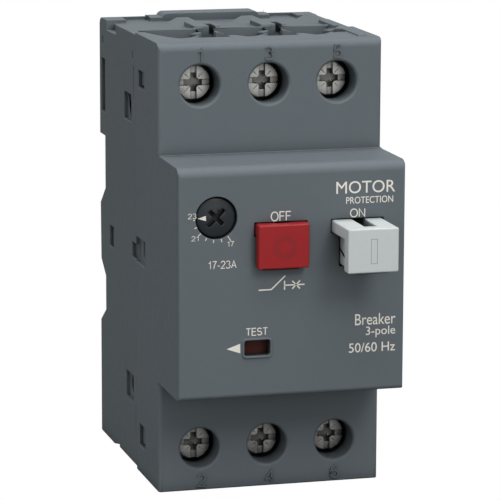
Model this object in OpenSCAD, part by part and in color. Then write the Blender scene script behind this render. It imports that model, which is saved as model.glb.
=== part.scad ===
// Three-pole motor protection breaker for 35 mm rail, two push-buttons, rated-current dial.
// Millimetres. +Z is up, the front faces -Y, the unit stands on Z = 0 and is centred on X and Y.

/* [Overall] */
// Width of the unit (five 9 mm modules)
unit_w = 45; // [45:0.5:48]
// Height of the terminal block
unit_h = 88.8; // [88:0.1:90]
// Depth from the face of the extended button to the back
unit_d = 78.2; // [78:0.1:80]
// Moulded wall thickness
wall = 1.6; // [1.4:0.1:1.8]

/* [Front cover] */
// How far the nose stands out from the terminal blocks
nose_out = 15.8; // [15:0.1:16.5]
// Height of the nose's lower edge
nose_lo = 22; // [21.5:0.1:22.5]
// Height of the nose's upper edge
nose_hi = 67; // [66.5:0.1:67.5]
// Depth of the front cover behind the terminal faces
cover_d = 19; // [18.5:0.1:19.5]

/* [Poles] */
// Distance between neighbouring poles
pole_pitch = 13.8; // [13.6:0.1:13.9]
// Sideways position of the middle pole
pole_mid = -0.35; // [-0.5:0.05:0]
// Radius of a screwdriver well
well_r = 4; // [3.8:0.05:4.1]
// Height of the upper row of wells
well_hi = 80.4; // [80:0.1:80.8]
// Height of the lower row of wells
well_lo = 8.5; // [8.2:0.1:8.8]

/* [Buttons] */
// Reach of a fully extended button in front of the nose
button_out = 10.8; // [10.5:0.1:11]
// Stroke of both buttons
button_stroke = 8; // [7.6:0.1:8.1]
// Width of a button cap
button_w = 10; // [9.8:0.1:10.1]
// Height of a button cap
button_h = 8.5; // [8.3:0.1:8.6]
// Left edge of the ON cap
on_x = 7.8; // [7.7:0.05:7.9]
// Left edge of the OFF cap
off_x = -7.4; // [-7.5:0.05:-7.3]

/* [Setting dial] */
// Sideways position of the dial
dial_x = -15; // [-15.2:0.1:-14.8]
// Height of the dial
dial_z = 57.3; // [57:0.1:57.6]
// Radius of the dial
dial_r = 3.85; // [3.7:0.05:3.9]

/* [Rail seat] */
// Depth of the rail recess
rail_depth = 4.8; // [4.6:0.1:5]
// Lower edge of the recess
rail_lo = 27.4; // [27:0.1:27.8]
// Upper edge of the recess
rail_hi = 64.1; // [63.8:0.1:64.4]

/* [Hidden] */
$fn = 48;
e = 0.01;                                   // overlap that makes unions solid

// Reference planes along Y
y_cap = -unit_d / 2;                        // face of the extended ON cap
y_nose = y_cap + button_out;                // nose face
y_face = y_nose + nose_out;                 // terminal-block face
y_part = y_face + cover_d;                  // parting plane between cover and housing
y_back = unit_d / 2;                        // back of the unit
y_rail = y_back - rail_depth;               // rail seat

half_w = unit_w / 2;
in_w = half_w - wall;                       // inner half width
housing_h = unit_h - 0.4;                   // ears of the rear housing
ridge_h = unit_h + 0.5;                     // top of the ribs and the rear stop
rim_y = y_part + 3.3;                       // rim that closes the wire bays behind
floor_h = unit_h - 1.2;                     // roof of the rear housing behind the wire bays
roof_t = 3.4;                               // roof and floor of the cover

// Poles and terminals
function pole_x(i) = pole_mid + (i - 1) * pole_pitch;
head_y = y_face + 5.3;                      // face of a terminal screw head
head_len = 3.5;
well_floor_y = head_y + head_len + 0.1;     // seat of the screw head in the cover
bar_y = y_face + 12.9;                      // front of the conductor bar
bar_t = 1.2;
nut_y = bar_y + bar_t + 5.5;                // front of the nut plate, clamp open
nut_t = 1.6;
screw_r = 2;
slot_half = 0.64;                           // half the width of a driver slot
bay_offset = -0.5;                          // wire bay centre beside the pole centre
bay_r = 4.3;

// Button mechanism
cap_t = 2.8;                                // ON cap thickness
off_cap_t = 2.4;
stem_in = 1.7;                              // stem set in from the cap sides
flange_t = 2.4;                             // upper flange of a button
button_z = 47.45;                           // lower edge of both caps
rocker_x = (on_x + off_x + button_w) / 2;   // pivot midway between the buttons
rocker_arm = (on_x - off_x) / 2;
rocker_y = -13;
rocker_z = button_z + 1.3;
rocker_t = 3.4;
rocker_swing = asin(button_stroke / 2 / rocker_arm);
stem_tail = 2.6;                            // stem beyond its slot centre

// Contacts
carrier_z = 55;
bridge_y = 12;
pad_lo = 48;                                // lower contact height
pad_hi = 63;                                // upper contact height
fixed_pad_y = bridge_y + 1.8 + 2.5;         // face of the fixed contact pads

// Trip bar
trip_y = 4.2;
trip_z = 44.4;
trip_r = 1.5;
coil_y = 24;
coil_lo = 29.5;
coil_h = 10;

rim_out = 0.32;                             // rim round the TEST window
test_x = -6.95;                             // TEST window centre
test_z = 31.8;
test_stroke = 1.2;
trip_swing = 6;                             // turn of the trip bar at the end of that stroke
bimetal_y = bar_y + 0.5;

// Outline helpers -------------------------------------------------------------------------
// Points of an arc of radius r about [cx, cy], from angle a to angle b
function arc(cx, cy, r, a, b, n = 6) = r == 0 ? [[cx, cy]] :
    [for (i = [0:n]) [cx + r * cos(a + (b - a) * i / n), cy + r * sin(a + (b - a) * i / n)]];

// Rectangle with its own radius in each corner: lower left, lower right, upper right, upper left
function round_rect(x0, y0, x1, y1, r) = concat(
    arc(x0 + r[0], y0 + r[0], r[0], 180, 270),
    arc(x1 - r[1], y0 + r[1], r[1], 270, 360),
    arc(x1 - r[2], y1 - r[2], r[2], 0, 90),
    arc(x0 + r[3], y1 - r[3], r[3], 90, 180));

// Extrudes a [y, z] outline from x0 to x1
module along_x(x0, x1) {
    translate([x0, 0, 0]) rotate([90, 0, 90]) linear_extrude(x1 - x0) children();
}

// Extrudes an [x, z] outline from y0 to y1
module along_y(y0, y1) {
    translate([0, y1, 0]) rotate([90, 0, 0]) linear_extrude(y1 - y0) children();
}

// Extrudes an [x, y] outline from z0 to z1
module along_z(z0, z1) {
    translate([0, 0, z0]) linear_extrude(z1 - z0) children();
}

// Box between two corners
module block(a, b) {
    translate(a) cube(b - a);
}

// Cylinders with their start on the given point
module cyl_x(p, r, len) { translate(p) rotate([0, 90, 0]) cylinder(r = r, h = len); }
module cyl_y(p, r, len) { translate(p) rotate([-90, 0, 0]) cylinder(r = r, h = len); }
module cyl_z(p, r, len) { translate(p) cylinder(r = r, h = len); }

// Mirrors its children about the middle of the height of the terminals, for the lower row
module lower_row() { translate([0, 0, well_hi + well_lo]) mirror([0, 0, 1]) children(); }

// Helical compression spring along +Z as one swept tube
function helix(r, h, turns, per) = [for (i = [0:turns * per]) let(a = 360 * i / per)
    [r * cos(a), r * sin(a), h * i / (turns * per)]];
module spring(r, wire, h, turns, per = 12, sides = 6) {
    path = helix(r, h, turns, per);
    n = len(path);
    pts = [for (i = [0:n - 1]) let(a = 360 * i / per) for (k = [0:sides - 1]) let(b = 360 * k / sides)
        [(r + wire * cos(b)) * cos(a), (r + wire * cos(b)) * sin(a), path[i][2] + wire * sin(b)]];
    sides_faces = [for (i = [0:n - 2]) for (k = [0:sides - 1]) let(m = (k + 1) % sides)
        [i * sides + k, (i + 1) * sides + k, (i + 1) * sides + m, i * sides + m]];
    first = [for (k = [0:sides - 1]) k];
    last = [for (k = [sides - 1:-1:0]) (n - 1) * sides + k];
    polyhedron(pts, concat([first, last], sides_faces), convexity = 6);
}

// Openings that the cover and the housing share ---------------------------------------------
// U-shaped wire bay through the roof, one per pole
module wire_bay(i) {
    x = pole_x(i) + bay_offset;
    along_z(unit_h - 4, unit_h + 4)
        polygon(round_rect(x - bay_r, y_face + 14, x + bay_r, rim_y, [2.5, 2.5, 0, 0]));
}

// Concave guide that falls towards the wire bay
module scoop(i) {
    scoop_r = 14;
    run = cover_d - 7;
    fall = 1.3;
    translate([pole_x(i) + bay_offset, y_face + 7, unit_h + scoop_r])
        rotate([-90 - atan(fall / run), 0, 0])
            translate([0, 0, -3]) cylinder(r = scoop_r, h = run + 8, $fn = 96);
}

// Stepped slot beside a wire bay, for a phase barrier
module barrier_slot(i) {
    x = pole_x(i);
    low = unit_h - roof_t - 1;
    high = ridge_h + 1;
    block([x + 1.9, y_face + 7.7, low], [x + 8.2, y_face + 13.1, high]);
    block([x + 7.3, y_face + 10.2, low], [x + 9.8, y_face + 16, high]);
    block([x + 3.3, y_face + 13, low], [x + 7.3, y_face + 18, high]);
    block([x + 4.9, y_face + 17.9, low], [x + 8.3, y_face + 22.5, high]);
    block([x + 7.6, y_face + 22.4, unit_h - 1.6], [x + 8.9, y_face + 27, high]);
}

// Notch for a snap latch in both side walls
module latch_windows(x0, x1, gap) {
    for (side = [-1, 1], z = [[78.3, 81.7], [5.7, 10.1]])
        block([side > 0 ? x0 : -x1, y_face + 11.6 + gap, z[0] + gap],
              [side > 0 ? x1 : -x0, y_face + 16.6 - gap, z[1] - gap]);
}

// Front cover ---------------------------------------------------------------------------------
module cover_outside() {
    intersection() {
        along_x(-half_w, half_w)
            polygon(round_rect(y_face, 0, y_part, unit_h, [0.3, 0, 0, 1.8]));
        along_z(-1, unit_h + 1)
            polygon(round_rect(-half_w, y_face, half_w, y_part, [0.8, 0.8, 0, 0]));
    }
    intersection() {
        along_x(-half_w, half_w)
            polygon(round_rect(y_nose, nose_lo, y_face + 3, nose_hi, [1, 0, 0, 2]));
        along_z(nose_lo - 1, nose_hi + 1)
            polygon(round_rect(-half_w, y_nose, half_w, y_face + 3, [0.6, 0.6, 0, 0]));
    }
}

module cover_inside() {
    block([-in_w, y_face + 2, roof_t], [in_w, y_part + 1, unit_h - roof_t]);
    block([-in_w, y_nose + 2, nose_lo + 1.8], [in_w, y_face + 2.1, nose_hi - 1.8]);
}

// T-shaped window of a button whose cap starts at x
module button_window(x) {
    block([x + stem_in - 0.15, y_nose - 1, button_z - 0.55],
          [x + button_w - stem_in + 0.15, y_nose + 3, button_z + button_h - 1]);
    block([x - 0.15, y_nose - 1, button_z + button_h - flange_t - 0.15],
          [x + button_w + 0.3, y_nose + 3, button_z + button_h + 0.15]);
}

module well_tube(x, z) {
    cyl_y([x, y_face + 1, z], well_r + 1.3, well_floor_y + 1.2 - y_face - 1);
}

// Screwdriver well: a guiding bore, a wider seat round the screw head, a hole for its shank
module well_bore(x, z) {
    cyl_y([x, y_face - 1, z], well_r, 6.1);
    cyl_y([x, y_face + 5.05, z], well_r + 0.35, well_floor_y - y_face - 5.05);
    cyl_y([x, well_floor_y - 1, z], screw_r + 0.2, 4);
    translate([x, y_face - e, z]) rotate([-90, 0, 0])
        cylinder(r1 = well_r + 0.4, r2 = well_r, h = 0.4);
}

module test_window() {
    along_y(y_nose - 1, y_nose + 3)
        polygon(round_rect(test_x - 2.57, test_z - 1.52, test_x + 2.57, test_z + 1.52,
                           [0.5, 0.5, 0.5, 0.5]));
}

// Raised rim round the TEST window
module test_rim() {
    along_y(y_nose - rim_out, y_nose + 1)
        polygon(round_rect(test_x - 2.95, test_z - 2, test_x + 2.95, test_z + 1.85,
                           [0.8, 0.8, 0.8, 0.8]));
}

// Rib along the right edge of the roof, with a pocket beside it
module roof_rail() {
    block([18.3, y_face + 2.2, unit_h - 2], [20.2, y_part, unit_h + 0.35]);
}
module roof_pocket() {
    block([16.3, y_face + 10.4, unit_h - 1.3], [18.3, y_part - 0.8, unit_h + 1]);
}

// Side pocket for an auxiliary contact block, on the left only, with its deep drive hole
module auxiliary_pocket() {
    block([-half_w - 1, y_face + 11.2, 42.9], [-half_w + 0.9, y_face + 19.2, 48]);
    block([-half_w - 1, y_face + 19.1, 43.2], [-half_w + 0.9, y_face + 22.5, 46.3]);
    along_x(-half_w - 1, -in_w + 1)
        polygon(round_rect(y_face + 11.5, 43.7, y_face + 16.4, 47.4, [1, 1, 1, 1]));
}

module front_cover() color([0.34, 0.37, 0.39]) difference() {
    union() {
        difference() {
            cover_outside();
            cover_inside();
        }
        for (i = [0:2], z = [well_hi, well_lo]) well_tube(pole_x(i), z);
        test_rim();
        roof_rail();
    }
    for (i = [0:2], z = [well_hi, well_lo]) well_bore(pole_x(i), z);
    roof_pocket();
    for (i = [0:2]) {
        wire_bay(i);
        scoop(i);
        lower_row() wire_bay(i);
        lower_row() scoop(i);
    }
    for (i = [0:1]) {
        barrier_slot(i);
        lower_row() barrier_slot(i);
    }
    button_window(on_x);
    button_window(off_x);
    test_window();
    cyl_y([dial_x, y_nose - 1, dial_z], dial_r + 0.25, 4);
    latch_windows(in_w - 1, half_w + 1, 0);
    auxiliary_pocket();
}

// Rear housing ----------------------------------------------------------------------------------
ear_y = y_face + 44.8;                      // front of the rear corner ears
notch_y = y_face + 36.4;                    // front of the corner notches
sill = 0.6;                                 // underside of the housing next to the cover

housing_side = concat(
    [[y_part, sill], [22.1, sill], [22.1, sill + 0.6], [27, 0.2], [y_back, 0.2]],
    [[y_back, 24.4], [y_rail, rail_lo], [y_rail, 34.5]],
    [[y_back - 0.5, 37.5], [y_back - 0.1, 49.5], [y_rail, 53.2], [y_rail, rail_hi]],
    [[y_back, rail_hi]],
    arc(y_back - 1.6, housing_h - 1.6, 1.6, 0, 90),
    [[y_part, housing_h]]);

module housing_cavity() {
    low = sill + wall;
    high = floor_h - 1.6;
    inner_back = y_rail - wall;
    block([-in_w, y_part - 1, low], [in_w, inner_back, high]);
    block([-in_w, inner_back - 1, rail_hi + wall], [in_w, y_back - wall, high]);
    block([-in_w, inner_back - 1, low], [-11, y_back - wall, 22]);
    block([11, inner_back - 1, low], [in_w, y_back - wall, 22]);
    block([-in_w, inner_back - 1, 39], [in_w, y_back - 2.2, 48.3]);
}

// Walls between the poles, with room for the contact carrier and bearings for the trip bar
module pole_barriers() {
    for (i = [0:1]) {
        x = pole_x(i) + pole_pitch / 2;
        difference() {
            union() {
                block([x - 0.6, y_part + 0.4, sill + 1], [x + 0.6, y_rail - 1, floor_h - 1]);
                block([x - 0.6, trip_y - 3, trip_z - 3], [x + 0.6, y_part + 1, trip_z + 3]);
            }
            block([x - 1, y_part - 2, carrier_z - 3.2], [x + 1, bridge_y + 6, carrier_z + 3.2]);
            cyl_x([x - 1, trip_y, trip_z], trip_r + 0.06, 2);
        }
    }
}

module snap_latches() {
    for (side = [-1, 1], z = [78.8, 6.4])
        block([side > 0 ? in_w - 1.5 : -in_w + 0.2, y_face + 11.2, z],
              [side > 0 ? in_w - 0.2 : -in_w + 1.5, y_part + 3, z + 2.4]);
    for (side = [-1, 1], z = [78.8, 6.4])
        block([side > 0 ? in_w - 1.5 : -in_w - e, y_part + 0.4, z],
              [side > 0 ? in_w + e : -in_w + 1.5, y_part + 3, z + 2.4]);
    intersection() {
        latch_windows(in_w - 1.4, half_w - 0.7, 0.3);
        block([-half_w, y_face, 0], [half_w, y_part, unit_h]);
    }
}

// Roof of the rear housing: rim behind the wire bays, block between bays, ramps, rear stop
module roof_ribs() {
    difference() {
        union() {
            block([-in_w - e, y_part, floor_h - 1.8], [in_w + e, rim_y + e, unit_h - 0.3]);
            for (i = [0:1])
                block([pole_x(i) + 4.6, y_face + 20.8, floor_h - 1.8],
                      [pole_x(i) + 9.9, y_face + 31.2, ridge_h]);
        }
        for (i = [0:2]) {
            wire_bay(i);
            scoop(i);
        }
    }
    block([-in_w - e, rim_y, floor_h - 1.8], [in_w + e, rim_y + 1.1, unit_h]);
    // the cover's roof rail goes on along the right edge
    block([18.3, y_part, floor_h - 1.8], [20.2, y_face + 29.5, unit_h + 0.35]);
    // ears on the rear corners
    for (side = [-1, 1])
        block([side > 0 ? 18.3 : -in_w - e, ear_y, floor_h - 1.8],
              [side > 0 ? in_w + e : -18.3, y_back - 1.6 + e, housing_h]);
    for (i = [0:1]) ramp(pole_x(i) + 3.2, pole_x(i) + 9.9, 1.8);
    ramp(pole_x(2) + 3.2, in_w + e, 0);
    stop_w = 10.4;
    block([-stop_w - 2.4, y_back - 5.2, floor_h - 1.8], [stop_w + 2.4, y_back, housing_h + 0.1]);
    along_y(y_back - 5.2, y_back)
        polygon(round_rect(-stop_w, floor_h, stop_w, ridge_h, [0, 0, 1.1, 1.1]));
}

module ramp(x0, x1, slope) {
    top = ridge_h - 0.4;
    along_y(y_face + 23, y_face + 42)
        polygon([[x0, floor_h - 1], [x0, floor_h], [x0 + 2.5, top], [x1 - slope, top],
                 [x1, floor_h], [x1, floor_h - 1]]);
}

// Pocket with a chamfered mouth and a D-shaped hole, for a side-mounted accessory
module accessory_pocket(y, z) {
    block([-half_w - 1, y, z], [-half_w + 0.8, y + 6.3, z + 5.5]);
    intersection() {
        cyl_x([-half_w, y + 3, z + 2.75], 2, 2.6);
        block([-half_w - 1, y + 1.2, z], [-half_w + 3, y + 6, z + 6]);
    }
    // groove that frames the hole
    intersection() {
        difference() {
            cyl_x([-half_w, y + 3, z + 2.75], 2.7, 1.05);
            cyl_x([-half_w - 1, y + 3, z + 2.75], 2.4, 3);
        }
        block([-half_w, y + 2.4, z], [-half_w + 3, y + 6.2, z + 6]);
    }
}

module side_details() {
    for (side = [0, 1]) mirror([side, 0, 0]) {
        accessory_pocket(y_face + 22.8, 70.4);
        accessory_pocket(y_face + 21.8, 13.2);
        block([-half_w - 1, y_face + 20.6, 75.4], [-half_w + 0.4, y_face + 21, 81.9]);
        block([-half_w - 1, y_face + 19.7, 6.3], [-half_w + 0.4, y_face + 20.1, 12.7]);
        block([-half_w - 1, y_face + 21.4, 83.2], [-half_w + 0.9, y_face + 22.2, 84.8]);
        block([-half_w - 1, y_face + 46.6, 69], [-half_w + 1, y_face + 50, 80.1]);
        block([-half_w - 1, y_face + 48.3, 83.1], [-half_w + 1, y_face + 49.2, 84.7]);
        block([-half_w - 1, y_face + 39.1, 41.7], [-half_w + 0.9, y_face + 42.9, 46.1]);
    }
}

module clip_channel() {
    block([-9, y_rail, -1], [9, y_back + 1, rail_lo + e]);
}

module housing_hooks() {
    for (x = [-15, 6]) block([x, y_rail + 1.4, rail_hi - 3.4], [x + 9, y_rail + 3.9, rail_hi + 1]);
    // retaining lips over the clip, and the spring's seat
    for (side = [-1, 1]) block([side * 8.4 - 0.9, y_rail + 3.9, 3], [side * 8.4 + 0.9, y_back, 20]);
    block([-1.4, y_rail - 1, 5.2], [1.4, y_rail + 3.4, 7]);
}

module rear_housing() color([0.31, 0.34, 0.35]) difference() {
    union() {
        difference() {
            along_x(-half_w, half_w) polygon(housing_side);
            housing_cavity();
            block([-in_w, y_part - 1, floor_h], [in_w, y_back - 1.6, unit_h + 2]);
            block([-half_w - 1, notch_y, 86.3], [-in_w + e, ear_y, unit_h + 2]);
            block([in_w - e, notch_y, 86.3], [half_w + 1, ear_y, unit_h + 2]);
            clip_channel();
        }
        pole_barriers();
        snap_latches();
        roof_ribs();
        housing_hooks();
    }
    for (i = [0:2]) {
        wire_bay(i);
        lower_row() wire_bay(i);
    }
    for (i = [0:1]) barrier_slot(i);
    auxiliary_pocket();
    side_details();
}

// Buttons -------------------------------------------------------------------------------------
// Cap with an upper flange, a narrower stem and the rocker's slot. face_y is the cap's face,
// mouth is the side that the rocker enters from: 1 right, -1 left
module button(x, face_y, thick, slot_y, mouth) {
    tail = slot_y + stem_tail;
    mid = x + button_w / 2;
    difference() {
        union() {
            block([x, face_y, button_z], [x + button_w, face_y + thick, button_z + button_h]);
            block([x, face_y + 1, button_z + button_h - flange_t],
                  [x + button_w, tail - 6, button_z + button_h]);
            block([x + stem_in, face_y + 1, button_z - 0.2],
                  [x + button_w - stem_in, tail, button_z + button_h - flange_t + e]);
        }
        // weight-saving slot in the flange
        block([mid - 0.9, face_y + thick, button_z + button_h - 3],
              [mid + 1.5, tail - 7.5, button_z + button_h + 1]);
        along_z(rocker_z - 0.3, rocker_z + rocker_t + 0.3)
            polygon([[mid + 1.6 * -mouth, slot_y - 1.3], [mid + 0.3 * mouth, slot_y - 1.3],
                     [mid + 5 * mouth, slot_y - 4.6], [mid + 5 * mouth, slot_y + 4.6],
                     [mid + 0.3 * mouth, slot_y + 1.3], [mid + 1.6 * -mouth, slot_y + 1.3]]);
    }
}

module on_button() color([0.75, 0.77, 0.77])
    button(on_x, y_cap, cap_t, rocker_y - button_stroke / 2, -1);

off_face_y = y_nose - 2.7;
module off_button() color([0.58, 0.15, 0.16])
    button(off_x, off_face_y, off_cap_t, rocker_y + button_stroke / 2, 1);

module rocker_lever() color("silver") difference() {
    tip_r = 1.0;
    rotate_about_z(rocker_x, rocker_y, -rocker_swing) union() {
        cyl_z([rocker_x, rocker_y, rocker_z], 2.6, rocker_t);
        for (side = [-1, 1]) {
            block([side > 0 ? rocker_x : rocker_x - rocker_arm, rocker_y - 0.6, rocker_z],
                  [side > 0 ? rocker_x + rocker_arm : rocker_x, rocker_y + 0.6, rocker_z + rocker_t]);
            cyl_z([rocker_x + side * rocker_arm, rocker_y, rocker_z], tip_r, rocker_t);
        }
    }
    cyl_z([rocker_x, rocker_y, rocker_z - 1], 1.56, rocker_t + 2);
}

module rotate_about_z(x, y, a) {
    translate([x, y, 0]) rotate([0, 0, a]) translate([-x, -y, 0]) children();
}

module rocker_pin() color("lightgray") {
    cyl_z([rocker_x, rocker_y, 44.4], 1.5, 14.8);
    cyl_z([rocker_x, rocker_y, 59.2], 2.3, 0.7);
}

module on_button_spring() color("darkgray")
    translate([on_x + button_w / 2, rocker_y - button_stroke / 2 + stem_tail + 0.35, button_z + 3])
        rotate([-90, 0, 0]) spring(1.7, 0.28, 9.7, 3.5);

// Steel cage that carries the rocker, the button stems and the latch lever
frame_x0 = -8.6;
frame_x1 = 19.2;
frame_back = -4;
module mechanism_frame() color("gainsboro") difference() {
    union() {
        block([frame_x0, -22, 58.2], [frame_x1, frame_back, 59.2]);
        block([frame_x0, -22, 45.2], [frame_x1, frame_back, 46.2]);
        block([frame_x0, frame_back - e, 45.2], [frame_x1, frame_back + 1, 59.2]);
        for (x = [-1, 10.4]) block([x, frame_back, 58.2], [x + 0.9, 3.2, 63.4]);
    }
    cyl_z([rocker_x, rocker_y, 40], 1.52, 24);
    cyl_x([-3, 1.5, 61.4], 1.02, 20);
    for (x = [-4, 14]) cyl_z([x, -17, 50], 1.6, 12);
}

module latch_pin() color("lightgray") cyl_x([-1.6, 1.5, 61.4], 1, 13.4);

module latch_lever() color("silver") difference() {
    union() {
        cyl_x([1.6, 1.5, 61.4], 2, 7);
        block([2.6, 0.6, 50.4], [7.6, 1.8, 61]);
        block([2.6, 0.6, 50], [7.6, trip_y + 0.6, 51]);
    }
    cyl_x([0, 1.5, 61.4], 1.06, 12);
}

// Plastic bar across all poles, tipped by the bimetals, the magnets and the TEST slider
test_arm_x = -11;
module trip_bar() color([0.85, 0.82, 0.7]) {
    cyl_x([-in_w + 0.4, trip_y, trip_z], trip_r, 2 * in_w - 0.8);
    for (i = [0:2]) {
        x = pole_x(i);
        // finger behind the bimetal's tip
        block([x - 1.5, trip_y - 0.7, 36.5], [x + 1.5, trip_y + 0.7, trip_z]);
        block([x - 1.2, trip_y - 1.1, 37.2], [x + 1.2, trip_y, 38.6]);
        // arm over the magnet's plunger
        block([x + 3, trip_y - 0.7, trip_z], [x + 4.2, trip_y + 1.3, 49]);
        block([x + 3, trip_y - 0.7, 47.8], [x + 4.2, coil_y + 1, 49]);
        block([x - 1.2, coil_y - 1, 47.8], [x + 4.2, coil_y + 1, 49]);
    }
    // catch under the latch lever
    block([4.2, trip_y - 0.6, trip_z], [5.6, trip_y + 0.6, 49.6]);
    // arm that the TEST slider's wedge pushes
    block([test_arm_x - 0.7, trip_y - 0.7, test_z + 1.4], [test_arm_x + 0.7, trip_y + 0.7, trip_z]);
    cyl_z([test_arm_x, trip_y, test_z - 1.2], 0.7, 3);
}

// TEST slider: plate behind the window, long arm with a wedge. Sliding by
// test_stroke, the wedge turns the trip bar by trip_swing
wedge_a = atan(test_stroke / ((trip_z - test_z) * sin(trip_swing)));
function wedge_point(t) = [test_arm_x + 0.78 * cos(wedge_a) + t * sin(wedge_a),
                           trip_y - 0.78 * sin(wedge_a) + t * cos(wedge_a)];
module test_slider() color([0.36, 0.13, 0.1]) {
    arm_x0 = test_x - 2.35;
    arm_x1 = test_x - 1.05;
    top = (arm_x0 - wedge_point(0)[0]) / sin(wedge_a);
    block([test_x - 5.2, y_nose + 2.2, test_z - 2.6], [test_x + 4.2, y_nose + 3.6, test_z + 2.6]);
    block([test_x - 5.2, y_nose + 3.5, test_z - 1.4], [test_x - 4, y_nose + 7, test_z + 1.4]);
    along_z(test_z - 0.9, test_z + 0.9)
        polygon([[arm_x0, y_nose + 3], [arm_x1, y_nose + 3], [arm_x1, wedge_point(top)[1]],
                 wedge_point(top), wedge_point(-1.1), wedge_point(-1.1) - [0, 0.6],
                 [arm_x0, trip_y - 4.5]]);
}

module test_slider_spring() color("darkgray")
    translate([-in_w + 0.3, y_nose + 5.5, test_z]) rotate([0, 90, 0]) spring(1.3, 0.22, 8.1, 6);

// Setting dial: slotted head, retaining collar, shaft and eccentric pin
ecc = 1.2;
ecc_start = 29;
dial_edge = 0.7;                            // edge of the head behind the nose face
dial_dome = 0.6;                            // bulge of its face
dome_r = (dial_r * dial_r + dial_dome * dial_dome) / (2 * dial_dome);
module setting_dial() color([0.16, 0.17, 0.18]) difference() {
    union() {
        // head with a domed face
        intersection() {
            cyl_y([dial_x, y_nose - 1, dial_z], dial_r, 3.3);
            translate([dial_x, y_nose + dial_edge - dial_dome + dome_r, dial_z]) sphere(r = dome_r, $fn = 96);
        }
        cyl_y([dial_x, y_nose + 2.2, dial_z], dial_r + 0.9, 1);
        cyl_y([dial_x, y_nose + 3, dial_z], 2, 2.9);
        cyl_y([dial_x + ecc * cos(ecc_start), y_nose + 5.8, dial_z + ecc * sin(ecc_start)], 0.7, 2.6);
    }
    // driver slots, the longer one towards the scale's upper end
    for (slot = [[45, 1.8], [135, 2.2]])
        translate([dial_x, y_nose, dial_z]) rotate([0, slot[0], 0])
            block([-slot[1], -1, -0.36], [slot[1], 1.3, 0.36]);
}

module compensation_slide() color("silver") difference() {
    y0 = y_nose + 6.5;
    pin_x = dial_x + ecc * cos(ecc_start);
    union() {
        block([dial_x - 2.6, y0, dial_z - 5], [dial_x + 5.6, y0 + 1.2, dial_z + 4.4]);
        block([dial_x + 3.4, y0, 47.4], [dial_x + 5.6, y0 + 1.2, dial_z]);
    }
    block([pin_x - 0.95, y0 - 1, dial_z - 1], [pin_x + 0.95, y0 + 2, dial_z + 2.4]);
}

// Contacts ------------------------------------------------------------------------------------
// Moving crossbar with a window for each bridge
module contact_carrier() color([0.8, 0.78, 0.7]) difference() {
    union() {
        block([-19.4, 4.6, carrier_z - 2.2], [19.4, 7.4, carrier_z + 2.2]);
        for (i = [0:2], side = [-1, 1])
            block([pole_x(i) + side * 3.6 - 0.7, 7.3, carrier_z - 2.2],
                  [pole_x(i) + side * 3.6 + 0.7, bridge_y + 2.4, carrier_z + 2.2]);
        for (i = [0:2], side = [-1, 1])
            block([pole_x(i) + side * 2.75 - 0.6, bridge_y + 1.25, carrier_z - 2.2],
                  [pole_x(i) + side * 2.75 + 0.6, bridge_y + 2.4, carrier_z + 2.2]);
    }
    for (i = [0:2]) cyl_y([pole_x(i), 6.2, carrier_z], 2.1, 2);
}

module contact_bridge(i) color([0.78, 0.5, 0.32]) {
    x = pole_x(i);
    block([x - 2, bridge_y, pad_lo - 1.8], [x + 2, bridge_y + 1.1, pad_hi + 1.8]);
    block([x - 2.75, bridge_y, carrier_z - 1.4], [x + 2.75, bridge_y + 1.1, carrier_z + 1.4]);
    for (z = [pad_lo, pad_hi]) cyl_y([x, bridge_y + 1, z], 1.6, 0.8);
}
module contact_bridge_1() contact_bridge(0);
module contact_bridge_2() contact_bridge(1);
module contact_bridge_3() contact_bridge(2);

module contact_springs() color("darkgray")
    for (i = [0:2]) translate([pole_x(i), 6.55, carrier_z]) rotate([-90, 0, 0])
        spring(1.5, 0.25, 5.1, 4);

// Terminals: conductor bar behind the well, shelf, contact leg with its pad
module conductor_bar(i) difference() {
    x = pole_x(i);
    union() {
        block([x - 4, bar_y, well_hi - 4.6], [x + 4, bar_y + bar_t, well_hi + 4.7]);
        block([x - 4, bar_y, well_hi - 5.8], [x + 4, fixed_pad_y - 3, well_hi - 4.6]);
    }
    cyl_y([x, bar_y - 1, well_hi], screw_r + 0.2, bar_t + 2);
}

module line_terminal(i) color([0.8, 0.55, 0.36]) {
    x = pole_x(i);
    leg_y = fixed_pad_y + 0.8;
    conductor_bar(i);
    block([x - 3, fixed_pad_y - 4, well_hi - 5.8], [x + 3, leg_y + 1.1, well_hi - 4.6]);
    block([x - 2.4, leg_y, pad_hi - 1.9], [x + 2.4, leg_y + 1.1, well_hi - 4.7]);
    cyl_y([x, fixed_pad_y, pad_hi], 1.6, 0.9);
}
module line_terminal_1() line_terminal(0);
module line_terminal_3() line_terminal(1);
module line_terminal_5() line_terminal(2);

module load_terminal(i) color([0.8, 0.55, 0.36]) lower_row() conductor_bar(i);
module load_terminal_2() load_terminal(0);
module load_terminal_4() load_terminal(1);
module load_terminal_6() load_terminal(2);

// Combined-drive terminal screw: slots both ways, deep cross with ribs, four tick marks
module terminal_screw(i, z) color([0.72, 0.73, 0.7]) difference() {
    x = pole_x(i);
    union() {
        cyl_y([x, head_y, z], 3.3, head_len);
        cyl_y([x, head_y + head_len - 0.8, z], 3.7, 0.8);
        cyl_y([x, head_y + head_len - e, z], screw_r, nut_y + nut_t + 1 - head_y - head_len);
    }
    translate([x, head_y, z]) {
        for (a = [0, 90]) rotate([0, a, 0]) {
            block([-4, -1, -slot_half], [4, 0.55, slot_half]);
            block([-1.85, -1, -slot_half], [1.85, 2.1, slot_half]);
        }
        for (a = [45, 135]) rotate([0, a, 0]) {
            block([-1.15, -1, -0.2], [1.15, 1.6, 0.2]);
            for (side = [-1, 1])
                block([side * 1.95 - 0.5, -1, -0.08], [side * 1.95 + 0.5, 0.12, 0.08]);
        }
    }
}
module terminal_screw_1() terminal_screw(0, well_hi);
module terminal_screw_2() terminal_screw(0, well_lo);
module terminal_screw_3() terminal_screw(1, well_hi);
module terminal_screw_4() terminal_screw(1, well_lo);
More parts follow.
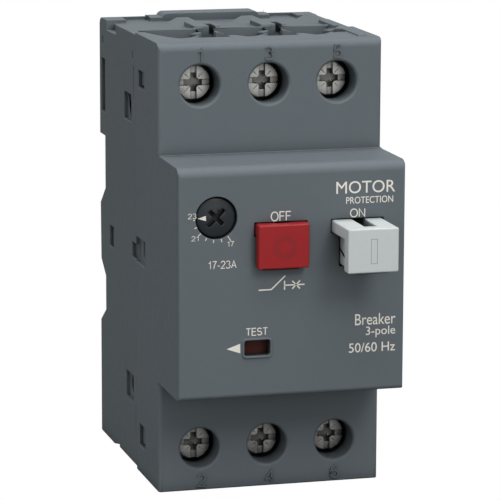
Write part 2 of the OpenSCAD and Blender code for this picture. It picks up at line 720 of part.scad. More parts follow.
module terminal_screw_5() terminal_screw(2, well_hi);
module terminal_screw_6() terminal_screw(2, well_lo);

// Nut plate with two guiding arms that straddle the conductor bar
module clamp_cage(i, z) color([0.7, 0.7, 0.66]) difference() {
    x = pole_x(i);
    union() {
        block([x - 5, nut_y, z - 4], [x + 5, nut_y + nut_t, z + 4]);
        for (side = [-1, 1])
            block([x + side * 4.6 - 0.4, bar_y + bar_t + 2.4, z - 2.6],
                  [x + side * 4.6 + 0.4, nut_y + 0.1, z + 2.6]);
    }
    cyl_y([x, nut_y - 1, z], screw_r + 0.08, nut_t + 2);
}
module clamp_cage_1() clamp_cage(0, well_hi);
module clamp_cage_2() clamp_cage(0, well_lo);
module clamp_cage_3() clamp_cage(1, well_hi);
module clamp_cage_4() clamp_cage(1, well_lo);
module clamp_cage_5() clamp_cage(2, well_hi);
module clamp_cage_6() clamp_cage(2, well_lo);

// Arc chute: steel splitter plates held in two insulating boards
module arc_chute(i) color([0.6, 0.6, 0.6]) {
    x = pole_x(i);
    for (side = [-1, 1])
        block([x + side * 5.1 - 0.35, 20, 51], [x + side * 5.1 + 0.35, 32, 72]);
    for (k = [0:7]) difference() {
        block([x - 5, 20.6, 52.2 + 2.4 * k], [x + 5, 31.6, 53 + 2.4 * k]);
        cyl_z([x, 20, 50], 2.2, 24);
    }
}
module arc_chute_1() arc_chute(0);
module arc_chute_2() arc_chute(1);
module arc_chute_3() arc_chute(2);

// Magnetic trip --------------------------------------------------------------------------------
coil_r = 5.2;
coil_bore = 3.2;
module trip_coil(i) color([0.72, 0.4, 0.2]) {
    x = pole_x(i);
    turns = 5;
    turn_h = coil_h / turns;
    leg_y = fixed_pad_y + 0.8;
    // winding with rounded turns
    translate([x, coil_y, coil_lo]) rotate_extrude()
        polygon(concat([[coil_bore, 0]],
            [for (k = [0:turns - 1]) each arc(coil_r - 0.5, turn_h * (k + 0.5), 0.5, -80, 80, 4)],
            [[coil_bore, coil_h]]));
    // lead up to the fixed contact
    block([x - 2, leg_y, coil_lo + 7], [x + 2, leg_y + 1, pad_lo + 1.8]);
    block([x - 2, leg_y, coil_lo + 7], [x + 2, coil_y - coil_r + 0.9, coil_lo + 8.4]);
    cyl_y([x, fixed_pad_y, pad_lo], 1.6, 0.9);
    // lead down to the bimetal
    block([x - 2, leg_y, 17], [x + 2, leg_y + 1, coil_lo + 2]);
    block([x - 1.2, bimetal_y + 1.6, 17], [x + 1.2, leg_y + e, 18]);
    block([x - 2, leg_y, coil_lo + 0.6], [x + 2, coil_y - coil_r + 0.9, coil_lo + 2]);
}
module trip_coil_1() trip_coil(0);
module trip_coil_2() trip_coil(1);
module trip_coil_3() trip_coil(2);

module magnet_yoke(i) color([0.55, 0.56, 0.57]) difference() {
    x = pole_x(i);
    front = coil_y - 5.4;
    back = coil_y + 6.6;
    union() {
        block([x - 5.5, front, coil_lo - 1.4], [x + 5.5, back, coil_lo - 0.1]);
        block([x - 5.5, front, coil_lo + coil_h + 0.1], [x + 5.5, back, coil_lo + coil_h + 1.4]);
        block([x - 5.5, back - 1.2, coil_lo - 1.4], [x + 5.5, back, coil_lo + coil_h + 1.4]);
        cyl_z([x, coil_y, coil_lo - 0.2], 2.7, 1.2);
    }
    cyl_z([x, coil_y, coil_lo + 5], 2.66, 8);
}
module magnet_yoke_1() magnet_yoke(0);
module magnet_yoke_2() magnet_yoke(1);
module magnet_yoke_3() magnet_yoke(2);

module magnet_plunger(i) color([0.65, 0.66, 0.68]) {
    x = pole_x(i);
    cyl_z([x, coil_y, coil_lo + 1.4], 2.6, 10.6);
    cyl_z([x, coil_y, coil_lo + 11.9], 0.9, 4);
}
module magnet_plunger_1() magnet_plunger(0);
module magnet_plunger_2() magnet_plunger(1);
module magnet_plunger_3() magnet_plunger(2);

// Bimetal strip on its foot with a wound heater
module bimetal(i) color([0.75, 0.68, 0.5]) {
    x = pole_x(i);
    foot_z = well_hi + well_lo - (well_hi - 5.8);
    block([x - 2, bimetal_y, foot_z], [x + 2, bimetal_y + 0.9, 40]);
    block([x - 2, bimetal_y, foot_z], [x + 2, bimetal_y + 5, foot_z + 1.2]);
    for (k = [0:4])
        block([x - 2.6, bimetal_y - 0.8, 18 + 2.2 * k], [x + 2.6, bimetal_y + 1.7, 19.4 + 2.2 * k]);
}
module bimetal_1() bimetal(0);
module bimetal_2() bimetal(1);
module bimetal_3() bimetal(2);

// Rail clip -------------------------------------------------------------------------------------
module din_clip() color([0.2, 0.21, 0.22]) difference() {
    union() {
        block([-8.7, y_rail + 1.2, 1.2], [8.7, y_rail + 3.6, 25.2]);
        along_x(-8.7, 8.7)
            polygon([[y_rail + 1.3, 24.8], [y_rail + 4.4, 24.8], [y_rail + 4.4, 25.6],
                     [y_rail + 2.6, 28.1], [y_rail + 1.3, 28.1]]);
        block([-5, y_rail + 1.2, 0.4], [5, y_rail + 4.4, 2.2]);
    }
    block([-3, y_rail, 4], [3, y_rail + 6, 16.4]);
}

module din_clip_spring() color("darkgray")
    translate([0, y_rail + 2.4, 7.3]) spring(1.5, 0.25, 8.8, 6);

rear_housing();
front_cover();
on_button();
off_button();
test_slider();
setting_dial();
din_clip();
din_clip_spring();
on_button_spring();
test_slider_spring();
mechanism_frame();
rocker_lever();
rocker_pin();
latch_lever();
latch_pin();
trip_bar();
compensation_slide();
contact_carrier();
contact_springs();
contact_bridge_1();
contact_bridge_2();
contact_bridge_3();
terminal_screw_1();
terminal_screw_2();
terminal_screw_3();
terminal_screw_4();
terminal_screw_5();
terminal_screw_6();
clamp_cage_1();
clamp_cage_2();
clamp_cage_3();
clamp_cage_4();
clamp_cage_5();
clamp_cage_6();
line_terminal_1();
line_terminal_3();
line_terminal_5();
load_terminal_2();
load_terminal_4();
load_terminal_6();
arc_chute_1();
arc_chute_2();
arc_chute_3();
trip_coil_1();
trip_coil_2();
trip_coil_3();
magnet_yoke_1();
magnet_yoke_2();
magnet_yoke_3();
magnet_plunger_1();
magnet_plunger_2();
magnet_plunger_3();
bimetal_1();
bimetal_2();
bimetal_3();
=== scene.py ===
"""Looks of a three-pole motor protection breaker: satin grey mouldings, two push-buttons,
a current dial, a TEST slider and recessed terminal screws, on a pale studio floor."""

import math

import bpy
from mathutils import Matrix, Vector


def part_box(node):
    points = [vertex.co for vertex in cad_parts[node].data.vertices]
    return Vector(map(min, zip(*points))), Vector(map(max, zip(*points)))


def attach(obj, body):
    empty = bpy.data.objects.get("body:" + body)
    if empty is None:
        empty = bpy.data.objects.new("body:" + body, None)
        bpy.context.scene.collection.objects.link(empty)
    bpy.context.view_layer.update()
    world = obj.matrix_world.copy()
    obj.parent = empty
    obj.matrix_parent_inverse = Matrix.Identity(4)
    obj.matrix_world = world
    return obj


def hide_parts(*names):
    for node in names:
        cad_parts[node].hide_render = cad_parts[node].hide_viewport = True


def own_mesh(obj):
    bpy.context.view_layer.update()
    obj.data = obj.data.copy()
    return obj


MM = 0.001

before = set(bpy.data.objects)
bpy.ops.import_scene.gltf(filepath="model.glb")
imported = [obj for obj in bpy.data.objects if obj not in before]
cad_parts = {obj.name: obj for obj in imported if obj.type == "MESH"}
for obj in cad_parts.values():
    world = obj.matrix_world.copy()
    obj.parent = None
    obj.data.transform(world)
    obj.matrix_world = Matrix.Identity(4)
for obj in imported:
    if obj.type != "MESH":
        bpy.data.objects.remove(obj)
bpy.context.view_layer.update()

# Reference planes, from the frame. The front looks towards -Y. ---------------------------------
ON_CAP_OUT = 10.8 * MM
NOSE_DEPTH = 15.8 * MM
ON_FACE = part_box("on_button")[0].y
OFF_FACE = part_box("off_button")[0].y
Y_NOSE = ON_FACE + ON_CAP_OUT
Y_FACE = Y_NOSE + NOSE_DEPTH
BLOCK_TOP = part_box("front_cover")[1].z
CREASE_ANGLE = math.radians(32)


# Materials ---------------------------------------------------------------------------------------
def new_material(name, **sockets):
    """A material with its Principled shader's own sockets set."""
    material = bpy.data.materials.new(name)
    material.use_nodes = True
    shader = material.node_tree.nodes["Principled BSDF"]
    for socket, value in sockets.items():
        shader.inputs[socket.replace("_", " ")].default_value = value
    return material, material.node_tree, shader


def noise(tree, size, detail=3.0, stretch=(1, 1, 1)):
    """Noise whose grains are about size metres across, in the object's own coordinates."""
    where = tree.nodes.new("ShaderNodeTexCoord")
    mapping = tree.nodes.new("ShaderNodeMapping")
    mapping.inputs["Scale"].default_value = stretch
    texture = tree.nodes.new("ShaderNodeTexNoise")
    texture.inputs["Scale"].default_value = 1 / size
    texture.inputs["Detail"].default_value = detail
    tree.links.new(where.outputs["Object"], mapping.inputs["Vector"])
    tree.links.new(mapping.outputs["Vector"], texture.inputs["Vector"])
    return texture.outputs["Fac"]


def spread(tree, value, low, high, start=0.3, end=0.7):
    """Maps value from start..end to low..high."""
    node = tree.nodes.new("ShaderNodeMapRange")
    for socket, number in zip(node.inputs[1:5], (start, end, low, high)):
        socket.default_value = number
    tree.links.new(value, node.inputs["Value"])
    return node.outputs["Result"]


def blend_colours(tree, factor, a, b):
    """Colour a where factor is 0 and b where it is 1; each is a colour or a socket."""
    node = tree.nodes.new("ShaderNodeMix")
    node.data_type = "RGBA"
    for socket, colour in ((node.inputs[6], a), (node.inputs[7], b)):
        if isinstance(colour, bpy.types.NodeSocket):
            tree.links.new(colour, socket)
        else:
            socket.default_value = (*colour, 1)
    tree.links.new(factor, node.inputs["Factor"])
    return node.outputs[2]


def bump(tree, height, distance):
    """A normal that rises and falls with height, by distance metres."""
    node = tree.nodes.new("ShaderNodeBump")
    node.inputs["Distance"].default_value = distance
    tree.links.new(height, node.inputs["Height"])
    return node.outputs["Normal"]


def edge_mask(tree, radius):
    """1 on convex and concave edges within radius, 0 on flat stretches."""
    rounded = tree.nodes.new("ShaderNodeBevel")
    rounded.samples = 6
    rounded.inputs["Radius"].default_value = radius
    true_normal = tree.nodes.new("ShaderNodeNewGeometry")
    dot = tree.nodes.new("ShaderNodeVectorMath")
    dot.operation = "DOT_PRODUCT"
    tree.links.new(rounded.outputs["Normal"], dot.inputs[0])
    tree.links.new(true_normal.outputs["Normal"], dot.inputs[1])
    return spread(tree, dot.outputs["Value"], 1.0, 0.0, 0.75, 0.99)


def recess_mask(tree, distance, low, high):
    """0 deep inside pockets and slots, 1 on open faces; read from ambient occlusion to paint shade
    into recesses.
    """
    shade = tree.nodes.new("ShaderNodeAmbientOcclusion")
    shade.samples = 6
    shade.inputs["Distance"].default_value = distance
    return spread(tree, shade.outputs["AO"], 0, 1, low, high)


def scaled(colour, factor):
    """A colour made darker or lighter by factor."""
    return tuple(min(1.0, c * factor) for c in colour)


GRAIN = 0.22 * MM
GRAIN_DEPTH = 0.0016 * MM
SCRATCH = 0.12 * MM
SCRATCH_DEPTH = 0.003 * MM
EDGE_HIGHLIGHT_REACH = 0.25 * MM


def moulded_plastic(name, colour, roughness, edge_highlight=1.1):
    """Spark-eroded moulding: fine grain, faint flow clouds, painted highlights on the edges and
    painted shade in the recesses."""
    material, tree, shader = new_material(name, Specular_IOR_Level=0.14)
    clouds = noise(tree, 22 * MM, detail=2.0)
    mottle = noise(tree, 1.3 * MM, detail=4.0)
    tone = blend_colours(tree, spread(tree, clouds, 0, 1), scaled(colour, 0.98),
                         scaled(colour, 1.02))
    speck = blend_colours(tree, spread(tree, mottle, 0, 0.3), tone, scaled(colour, 0.92))
    # Painted highlight: colour lighter along convex and concave edges, by the given factor.
    edge_lit = blend_colours(tree, edge_mask(tree, EDGE_HIGHLIGHT_REACH), speck, scaled(colour, edge_highlight))
    # Painted shade: colour darkened towards 0.12 of itself inside pockets and slots, from ambient
    # occlusion.
    recess_shaded = blend_colours(tree, recess_mask(tree, 5 * MM, 0.2, 0.72), scaled(colour, 0.12), edge_lit)
    tree.links.new(recess_shaded, shader.inputs["Base Color"])
    fine = noise(tree, GRAIN, detail=2.0)
    tree.links.new(bump(tree, fine, GRAIN_DEPTH), shader.inputs["Normal"])
    rough = spread(tree, mottle, roughness - 0.02, roughness + 0.03)
    tree.links.new(rough, shader.inputs["Roughness"])
    return material


def plated_metal(name, colour, roughness, brushed=(1, 1, 1)):
    """Plated or rolled metal: fine directional marks, cloudy roughness and painted shade in
    recesses.
    """
    material, tree, shader = new_material(name, Metallic=1.0)
    clouds = noise(tree, 2.5 * MM, detail=4.0)
    lines = noise(tree, SCRATCH, stretch=brushed)
    tone = blend_colours(tree, spread(tree, clouds, 0, 1), scaled(colour, 0.86),
                         scaled(colour, 1.08))
    # Painted shade: colour darkened towards 0.2 of itself in recesses, from ambient occlusion.
    hollow_shaded = blend_colours(tree, recess_mask(tree, 2.6 * MM, 0.4, 0.92), scaled(colour, 0.2),
                          tone)
    tree.links.new(hollow_shaded, shader.inputs["Base Color"])
    tree.links.new(spread(tree, clouds, roughness - 0.07, roughness + 0.09),
                   shader.inputs["Roughness"])
    tree.links.new(bump(tree, lines, SCRATCH_DEPTH), shader.inputs["Normal"])
    return material


def ink(name, colour):
    """Printed paint with faint mottling; also used for dark lines of painted shade."""
    material, tree, shader = new_material(name, Roughness=0.55)
    body = noise(tree, 0.5 * MM)
    tree.links.new(blend_colours(tree, spread(tree, body, 0, 1), scaled(colour, 0.93), colour),
                   shader.inputs["Base Color"])
    return material


COVER = (0.088, 0.103, 0.113)
HOUSING = (0.086, 0.101, 0.110)
finish = {
    "cover": moulded_plastic("cover_plastic", COVER, 0.55),
    "housing": moulded_plastic("housing_plastic", HOUSING, 0.55),
    "on": moulded_plastic("on_plastic", (0.41, 0.436, 0.436), 0.38, edge_highlight=1.08),
    # Painted shade: dark red lines that stand in for the shaded edges of the ring groove on the OFF
    # cap.
    "off_ring_painted_shade": ink("off_ring_painted_shade", (0.06, 0.003, 0.004)),
    # Painted shade: dark grey lines that stand in for the shaded edges of the bar on the ON cap.
    "on_bar_painted_shade": ink("on_bar_painted_shade", (0.2, 0.21, 0.21)),
    "off": moulded_plastic("off_plastic", (0.235, 0.0135, 0.016), 0.36, edge_highlight=1.25),
    "test": moulded_plastic("test_plastic", (0.098, 0.02, 0.014), 0.42),
    "dial": moulded_plastic("dial_plastic", (0.02, 0.024, 0.027), 0.36, edge_highlight=1.5),
    "clip": moulded_plastic("clip_plastic", (0.03, 0.033, 0.035), 0.48),
    "thermoset": moulded_plastic("thermoset", (0.55, 0.5, 0.38), 0.6),
    "spring": plated_metal("spring_steel", (0.58, 0.58, 0.6), 0.28),
    "zinc": plated_metal("zinc_steel", (0.62, 0.62, 0.6), 0.34, (1, 1, 8)),
    "screw": plated_metal("screw_nickel", (0.42, 0.42, 0.40), 0.3),
    "copper": plated_metal("copper", (0.78, 0.42, 0.26), 0.3, (6, 1, 1)),
    "chute": plated_metal("chute_steel", (0.42, 0.42, 0.44), 0.42, (1, 6, 1)),
    "iron": plated_metal("core_iron", (0.32, 0.32, 0.33), 0.45),
    "bimetal": plated_metal("bimetal", (0.62, 0.53, 0.38), 0.36, (6, 1, 1)),
    "print": ink("print_ink", (0.60, 0.575, 0.52)),
}


# Finish of the CAD nodes ---------------------------------------------------------------------------
def dress(node, material, edge):
    """Gives a CAD node its material and broken edges of width edge, or sharp creases for 0."""
    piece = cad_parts[node]
    piece.data.materials.clear()
    piece.data.materials.append(material)
    for polygon in piece.data.polygons:
        polygon.use_smooth = True
    weld = piece.modifiers.new("weld", "WELD")
    weld.merge_threshold = 0.002 * MM
    if not edge:
        split = piece.modifiers.new("creases", "EDGE_SPLIT")
        split.split_angle = CREASE_ANGLE
        return
    flat = piece.modifiers.new("flatten", "DECIMATE")
    flat.decimate_type = "DISSOLVE"
    flat.angle_limit = math.radians(0.6)
    bevel = piece.modifiers.new("edges", "BEVEL")
    bevel.limit_method = "ANGLE"
    bevel.angle_limit = CREASE_ANGLE
    bevel.width = edge
    bevel.segments = 2
    bevel.use_clamp_overlap = False
    piece.modifiers.new("normals", "WEIGHTED_NORMAL").weight = 100


# Node, or the start of a numbered node's name, with its material and edge width in millimetres
LOOKS = [
    ("front_cover", "cover", 0.15), ("rear_housing", "housing", 0.15),
    ("on_button", "on", 0.3), ("off_button", "off", 0.3), ("test_slider", "test", 0.1),
    ("setting_dial", "dial", 0.15), ("din_clip", "clip", 0.2),
    ("trip_bar", "thermoset", 0.1), ("contact_carrier", "thermoset", 0.1),
    ("mechanism_frame", "zinc", 0.1), ("rocker_lever", "zinc", 0.1),
    ("latch_lever", "zinc", 0.1), ("compensation_slide", "zinc", 0.1),
    ("rocker_pin", "zinc", 0.1), ("latch_pin", "zinc", 0.1),
    ("terminal_screw_", "screw", 0.03), ("clamp_cage_", "zinc", 0.12),
    ("line_terminal_", "copper", 0.1), ("load_terminal_", "copper", 0.1),
    ("contact_bridge_", "copper", 0.1), ("trip_coil_", "copper", 0.05),
    ("arc_chute_", "chute", 0), ("magnet_yoke_", "iron", 0.1),
    ("magnet_plunger_", "iron", 0.1), ("bimetal_", "bimetal", 0.05),
    ("din_clip_spring", "spring", 0), ("on_button_spring", "spring", 0),
    ("test_slider_spring", "spring", 0), ("contact_springs", "spring", 0),
]
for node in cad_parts:
    plain_name = node.rstrip("0123456789")
    material, edge = next((look[1], look[2]) for look in LOOKS if look[0] == plain_name)
    dress(node, finish[material], edge * MM)


# Springs: node, joint, axis, travel in millimetres, and whether the end at the high side of
# the axis stays put. Only the node is read: each is copied to ride the housing, its CAD node hidden,
# and keeps its length.
for node, joint, axis, travel, high_end in [
        ("on_button_spring", "on_press", (0, 1, 0), 8.0, True),
        ("test_slider_spring", "test_slide", (1, 0, 0), 1.2, False),
        ("din_clip_spring", "rail_clip_pull", (0, 0, 1), 3.5, False)]:
    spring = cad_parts[node].copy()
    spring.data = spring.data.copy()
    spring.name = node + "_coil"
    bpy.context.scene.collection.objects.link(spring)
    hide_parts(node)
    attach(spring, "housing")
    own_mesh(spring)


# Marks ------------------------------------------------------------------------------------------
# Every mark starts a hair under its surface, so that it never floats
SUNK = 0.01 * MM
PRINT_HEIGHT = 0.03 * MM
LINE_HEIGHT = 0.02 * MM


def text_mesh(name, words):
    """Words in the built-in font as a mesh 1 deep, half in front of z = 0 and half behind."""
    font = bpy.data.curves.new(name, "FONT")
    font.body = words
    font.extrude = 0.5
    font.resolution_u = 6
    maker = bpy.data.objects.new(name + "_maker", font)
    bpy.context.scene.collection.objects.link(maker)
    bpy.context.view_layer.update()
    mesh = bpy.data.meshes.new_from_object(maker.evaluated_get(
        bpy.context.evaluated_depsgraph_get()))
    bpy.data.objects.remove(maker)
    mesh.name = name
    return mesh


def mark(name, mesh, material, body="housing"):
    """A visible piece made of mesh, riding a body."""
    piece = bpy.data.objects.new(name, mesh)
    bpy.context.scene.collection.objects.link(piece)
    mesh.materials.clear()
    mesh.materials.append(material)
    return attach(piece, body)


def printed_text(name, words, x0, x1, z0, z1):
    """Words that fill the box x0..x1, z0..z1, in millimetres, just proud of the nose."""
    mesh = text_mesh(name, words)
    xs = [v.co.x for v in mesh.vertices]
    ys = [v.co.y for v in mesh.vertices]
    wide, tall = max(xs) - min(xs), max(ys) - min(ys)
    for vertex in mesh.vertices:
        across = (vertex.co.x - min(xs)) / wide
        up = (vertex.co.y - min(ys)) / tall
        depth = vertex.co.z + 0.5
        vertex.co = Vector(((x0 + (x1 - x0) * across) * MM,
                            Y_NOSE + SUNK - PRINT_HEIGHT * depth,
                            (z0 + (z1 - z0) * up) * MM))
    return mark(name, mesh, finish["print"])


def plate(name, outline, body="housing"):
    """A flat print mark from (x, z) points in millimetres, counter-clockwise from the front."""
    count = len(outline)
    verts = [(x * MM, level, z * MM) for level in (Y_NOSE - PRINT_HEIGHT, Y_NOSE + SUNK)
             for x, z in outline]
    faces = [list(range(count)), list(range(2 * count - 1, count - 1, -1))]
    for i in range(count):
        j = (i + 1) % count
        faces.append([j, i, count + i, count + j])
    mesh = bpy.data.meshes.new(name)
    mesh.from_pydata(verts, [], faces)
    return mark(name, mesh, finish["print"], body)


def curve(cx, cz, rx, rz, start, end, steps=14):
    """Points of an elliptic arc, angles in degrees."""
    return [(cx + rx * math.cos(math.radians(start + (end - start) * i / steps)),
             cz + rz * math.sin(math.radians(start + (end - start) * i / steps)))
            for i in range(steps + 1)]


# Single-stroke letters: advance width, then polylines in a box of height 1
LETTERS = {
    "0": (0.56, [curve(0.28, 0.5, 0.28, 0.5, 0, 360, 28)]),
    "1": (0.4, [[(0.04, 0.74), (0.2, 0.82), (0.3, 1.0), (0.3, 0)]]),
    "2": (0.56, [curve(0.28, 0.72, 0.27, 0.28, 170, -30) + [(0.0, 0.0), (0.56, 0.0)]]),
    "3": (0.54, [curve(0.25, 0.75, 0.24, 0.25, 155, -90),
                 curve(0.25, 0.26, 0.29, 0.26, 90, -155)]),
    "4": (0.58, [[(0.44, 0), (0.44, 1), (0, 0.27), (0.58, 0.27)]]),
    "5": (0.56, [[(0.5, 1), (0.12, 1), (0.05, 0.52)] + curve(0.26, 0.31, 0.29, 0.31, 125, -150)]),
    "6": (0.56, [curve(0.29, 0.3, 0.27, 0.3, 0, 360, 28),
                 curve(0.34, 0.45, 0.32, 0.55, 50, 195)]),
    "7": (0.54, [[(0, 1), (0.54, 1), (0.28, 0.5), (0.18, 0)]]),
    "A": (0.68, [[(0, 0), (0.34, 1), (0.68, 0)], [(0.13, 0.34), (0.55, 0.34)]]),
    "-": (0.3, [[(0.0, 0.36), (0.3, 0.36)]]),
    "O": (0.76, [curve(0.38, 0.5, 0.38, 0.5, 0, 360, 32)]),
    "F": (0.5, [[(0, 0), (0, 1), (0.52, 1)], [(0, 0.52), (0.46, 0.52)]]),
    "N": (0.6, [[(0, 0), (0, 1), (0.6, 0), (0.6, 1)]]),
    "T": (0.62, [[(0, 1), (0.62, 1)], [(0.31, 1), (0.31, 0)]]),
    "E": (0.54, [[(0.56, 0), (0, 0), (0, 1), (0.55, 1)], [(0, 0.53), (0.5, 0.53)]]),
    "S": (0.6, [curve(0.3, 0.75, 0.27, 0.25, 25, 270)
                + curve(0.3, 0.26, 0.3, 0.26, 90, -155)[1:]]),
}


def ribbon(verts, faces, line, width, front, back):
    """Adds a raised band of the given width along a polyline of (x, z) points."""
    start = len(verts)
    last = len(line) - 1
    for i, (x, z) in enumerate(line):
        before = Vector(line[max(i - 1, 0)])
        after = Vector(line[min(i + 1, last)])
        here = Vector((x, z))
        steps = [step.normalized() for step in (here - before, after - here) if step.length > 0]
        along = sum(steps, Vector((0, 0))).normalized()
        square = Vector((-along.y, along.x))
        miter = max(0.5, abs(along.dot(steps[0])))
        reach = square * width / 2 / miter
        for y in (front, back):
            verts.append(((x + reach.x) * MM, y, (z + reach.y) * MM))
            verts.append(((x - reach.x) * MM, y, (z - reach.y) * MM))
    for i in range(last):
        a, b = start + 4 * i, start + 4 * i + 4
        # front, back and the two sides
        faces.append([a, a + 1, b + 1, b])
        faces.append([a + 2, b + 2, b + 3, a + 3])
        faces.append([a, b, b + 2, a + 2])
        faces.append([a + 1, a + 3, b + 3, b + 1])
    end = start + 4 * last
    faces.append([start, start + 2, start + 3, start + 1])
    faces.append([end, end + 1, end + 3, end + 2])


def bands(name, lines, width, y=Y_NOSE, thickness=PRINT_HEIGHT, material="print",
          slot="on_plastic", body="housing"):
    """Bands along polylines of (x, z) points in millimetres."""
    verts, faces = [], []
    for line in lines:
        ribbon(verts, faces, line, width, y - thickness, y + SUNK)
    mesh = bpy.data.meshes.new(name)
    mesh.from_pydata(verts, [], faces)
    return mark(name, mesh, finish[material], body)


LETTER_GAP = 0.2


def stroke_text(name, words, x0, x1, z0, z1, width, **looks):
    """Single-stroke words that fill the box x0..x1, z0..z1, in millimetres."""
    total = sum(LETTERS[c][0] for c in words) + LETTER_GAP * (len(words) - 1)
    wide = (x1 - x0 - width) / total
    tall = z1 - z0 - width
    lines, at = [], 0.0
    for letter in words:
        advance, shapes = LETTERS[letter]
        for shape in shapes:
            lines.append([(x0 + width / 2 + (at + x) * wide, z0 + width / 2 + z * tall)
                          for x, z in shape])
        at += advance + LETTER_GAP
    return bands(name, lines, width, **looks)


# Print on the nose. Thin technical marks are single strokes; the larger words use the
# built-in font. The numbers are each box's left, right, bottom and top, in millimetres.
BOLD, MEDIUM, SMALL, TINY = 0.2, 0.18, 0.16, 0.115
stroke_text("print_off", "OFF", -4.36, -0.33, 56.19, 58.10, BOLD)
stroke_text("print_on", "ON", 11.37, 14.42, 56.27, 58.01, BOLD)
stroke_text("print_test", "TEST", -9.21, -4.81, 34.18, 35.72, MEDIUM)
stroke_text("print_range", "17-23A", -16.66, -11.06, 47.51, 49.06, SMALL)
stroke_text("print_23", "23", -20.6, -18.93, 57.33, 58.39, TINY)
stroke_text("print_21", "21", -19.91, -18.37, 53.06, 54.07, TINY)
stroke_text("print_17", "17", -12.93, -11.57, 51.7, 52.76, TINY)
printed_text("print_title", "MOTOR", 8.6, 20.4, 60.95, 63.3)
printed_text("print_subtitle", "PROTECTION", 10.6, 20.0, 58.95, 60.25)
printed_text("print_class_1", "Breaker", 12.6, 20.75, 35.1, 37.3)
printed_text("print_class_2", "3-pole", 14.8, 20.75, 32.55, 34.75)
printed_text("print_class_3", "50/60 Hz", 11.4, 20.75, 29.75, 31.6)

# Ticks start at a common radius round the dial
DIAL = (-15.0, 57.3)
TICK_START = 4.16
tick_ends = [(-19.54, 57.08), (-19.32, 55.48), (-18.54, 54.06), (-17.19, 53.06),
             (-15.62, 52.61), (-13.96, 52.66), (-12.2, 52.83)]
ticks = []
for x, z in tick_ends:
    start = TICK_START / math.hypot(x - DIAL[0], z - DIAL[1])
    ticks.append([(DIAL[0] + (x - DIAL[0]) * start, DIAL[1] + (z - DIAL[1]) * start), (x, z)])
bands("print_ticks", ticks, width=0.15)
plate("print_test_arrow", [(-12.98, 31.83), (-10.3, 30.89), (-10.3, 32.75)])
bands("print_isolator", [
    [(-6.67, 42.98), (-4.19, 43.02), (-1.45, 45.56)], [(-1.56, 42.84), (-1.56, 44.6)],
    [(-1.56, 43.72), (2.4, 43.72)], [(-0.05, 42.95), (1.5, 44.5)], [(-0.05, 44.5), (1.5, 42.95)],
], width=0.25)

# Pointer on the domed face of the dial; the dome's radius and offset are in millimetres
DOME_R = 12.65
DOME_FRONT = 0.1
pointer = plate("print_pointer", [(-18.55, 57.25), (-17.0, 56.8), (-17.0, 57.8)], body="dial")
for vertex in pointer.data.vertices:
    off_axis = math.hypot(vertex.co.x / MM - DIAL[0], vertex.co.z / MM - DIAL[1])
    sag = DOME_R - math.sqrt(DOME_R ** 2 - off_axis ** 2)
    vertex.co.y += (DOME_FRONT + sag) * MM

# Painted shade on the caps: fine dark outlines along the edges of the ring groove on OFF and of the
# bar on ON
bands("off_ring", [curve(-2.2, 51.55, r, r, 0, 360, 48) for r in (1.57, 2.12)], width=0.11,
      y=OFF_FACE, thickness=LINE_HEIGHT, material="off_ring_painted_shade", slot="off_plastic",
      body="off_button")
bands("on_bar", [[(12.3, 49.25), (13.5, 49.25), (13.5, 53.95), (12.3, 53.95), (12.3, 49.2)]],
      width=0.1, y=ON_FACE, thickness=LINE_HEIGHT, material="on_bar_painted_shade", slot="on_plastic",
      body="on_button")

# Raised pole numbers on the terminal blocks, centred on x, z
NUMBER_HALF_HEIGHT = 1.36
NUMBER_STROKE = 0.32
NUMBER_RISE = 0.28 * MM
for number, x, z in [("1", -14.15, 86.37), ("3", -0.4, 86.37), ("5", 13.4, 86.37),
                     ("2", -13.9, 2.0), ("4", 0.0, 2.0), ("6", 13.45, 2.0)]:
    half = 0.62 if number == "1" else 0.95
    stroke_text("pole_number_" + number, number, x - half, x + half,
                z - NUMBER_HALF_HEIGHT, z + NUMBER_HALF_HEIGHT, NUMBER_STROKE,
                y=Y_FACE, thickness=NUMBER_RISE, material="cover", slot="cover_plastic")


# Studio -------------------------------------------------------------------------------------------
ROOM_LIGHT = 0.62
KEY_LIGHT = 3.5
TOP_LIGHT = 7.2
LEFT_LIGHT = 1.95
FRONT_LIGHT = 4.9
FLOOR_HALF = 3.0
FLOOR_Z = -0.2 * MM

# A floor that the camera sees as pure white, and that bounces a little light
floor_mesh = bpy.data.meshes.new("floor")
floor_corners = [(x * FLOOR_HALF, y * FLOOR_HALF, FLOOR_Z)
                 for x, y in [(-1, -1), (1, -1), (1, 1), (-1, 1)]]
floor_mesh.from_pydata(floor_corners, [], [[0, 1, 2, 3]])
floor = bpy.data.objects.new("floor", floor_mesh)
bpy.context.scene.collection.objects.link(floor)
floor_mat = bpy.data.materials.new("floor_white")
floor_mat.use_nodes = True
floor_tree = floor_mat.node_tree
floor_tree.nodes.clear()
floor_out = floor_tree.nodes.new("ShaderNodeOutputMaterial")
bounce = floor_tree.nodes.new("ShaderNodeBsdfDiffuse")
bounce.inputs["Color"].default_value = (0.12, 0.12, 0.12, 1)
glow = floor_tree.nodes.new("ShaderNodeEmission")
seen = floor_tree.nodes.new("ShaderNodeLightPath")
either = floor_tree.nodes.new("ShaderNodeMixShader")
floor_tree.links.new(seen.outputs["Is Camera Ray"], either.inputs["Fac"])
floor_tree.links.new(bounce.outputs["BSDF"], either.inputs[1])
floor_tree.links.new(glow.outputs["Emission"], either.inputs[2])
floor_tree.links.new(either.outputs["Shader"], floor_out.inputs["Surface"])
floor_mesh.materials.append(floor_mat)

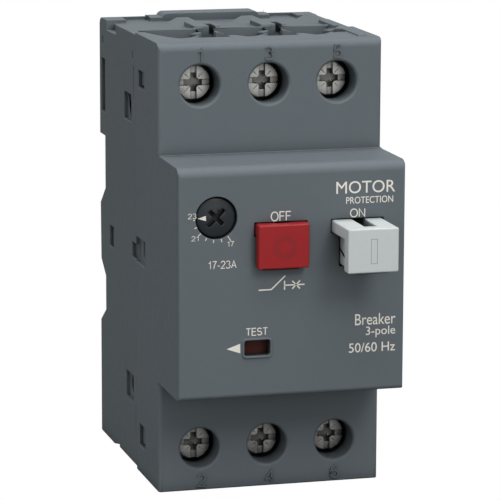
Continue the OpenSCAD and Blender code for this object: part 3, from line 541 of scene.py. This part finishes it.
# White sky for the camera, a dimmer and slightly cool room for lighting
world = bpy.data.worlds.new("studio")
bpy.context.scene.world = world
world.use_nodes = True
sky_tree = world.node_tree
white = sky_tree.nodes["Background"]
white.inputs["Color"].default_value = (1, 1, 1, 1)
room = sky_tree.nodes.new("ShaderNodeBackground")
room.inputs["Color"].default_value = (0.97, 0.985, 1, 1)
room.inputs["Strength"].default_value = ROOM_LIGHT
sky_seen = sky_tree.nodes.new("ShaderNodeLightPath")
sky_either = sky_tree.nodes.new("ShaderNodeMixShader")
sky_tree.links.new(sky_seen.outputs["Is Camera Ray"], sky_either.inputs["Fac"])
sky_tree.links.new(room.outputs["Background"], sky_either.inputs[1])
sky_tree.links.new(white.outputs["Background"], sky_either.inputs[2])
sky_tree.links.new(sky_either.outputs["Shader"], sky_tree.nodes["World Output"].inputs["Surface"])


centre = Vector((0, -0.02, BLOCK_TOP / 2))


def area_light(name, direction, distance, size, power):
    """A square light in a direction from the object, aimed at its centre; sizes in metres."""
    data = bpy.data.lights.new(name, "AREA")
    data.size = size
    data.energy = power
    lamp = bpy.data.objects.new(name, data)
    bpy.context.scene.collection.objects.link(lamp)
    lamp.location = centre + Vector(direction).normalized() * distance
    lamp.rotation_euler = (centre - lamp.location).to_track_quat("-Z", "Y").to_euler()


area_light("key", (0.28, -1, 0.8), 0.9, 0.3, KEY_LIGHT)
area_light("overhead", (0, -0.15, 1), 0.8, 0.6, TOP_LIGHT)
area_light("front_fill", (0, -1, -0.12), 0.9, 0.9, FRONT_LIGHT)
area_light("left_fill", (-1, -0.3, 0.25), 0.9, 0.6, LEFT_LIGHT)

# Camera -------------------------------------------------------------------------------------------
CAMERA_PLACE = Vector((-158.305, -574.860, 158.939)) * MM
YAW, PITCH, ROLL = math.radians(15.335), math.radians(10.794), math.radians(0.198)
camera_data = bpy.data.cameras.new("camera")
camera_data.sensor_width = 36
camera_data.lens = 218.79
camera_data.clip_start = 0.01
camera = bpy.data.objects.new("camera", camera_data)
bpy.context.scene.collection.objects.link(camera)
camera.matrix_world = (
    Matrix.Translation(CAMERA_PLACE) @ Matrix.Rotation(-YAW, 4, "Z")
    @ Matrix.Rotation(math.pi / 2 - PITCH, 4, "X") @ Matrix.Rotation(ROLL, 4, "Z"))
bpy.context.scene.camera = camera
bpy.context.scene.view_settings.view_transform = "Standard"
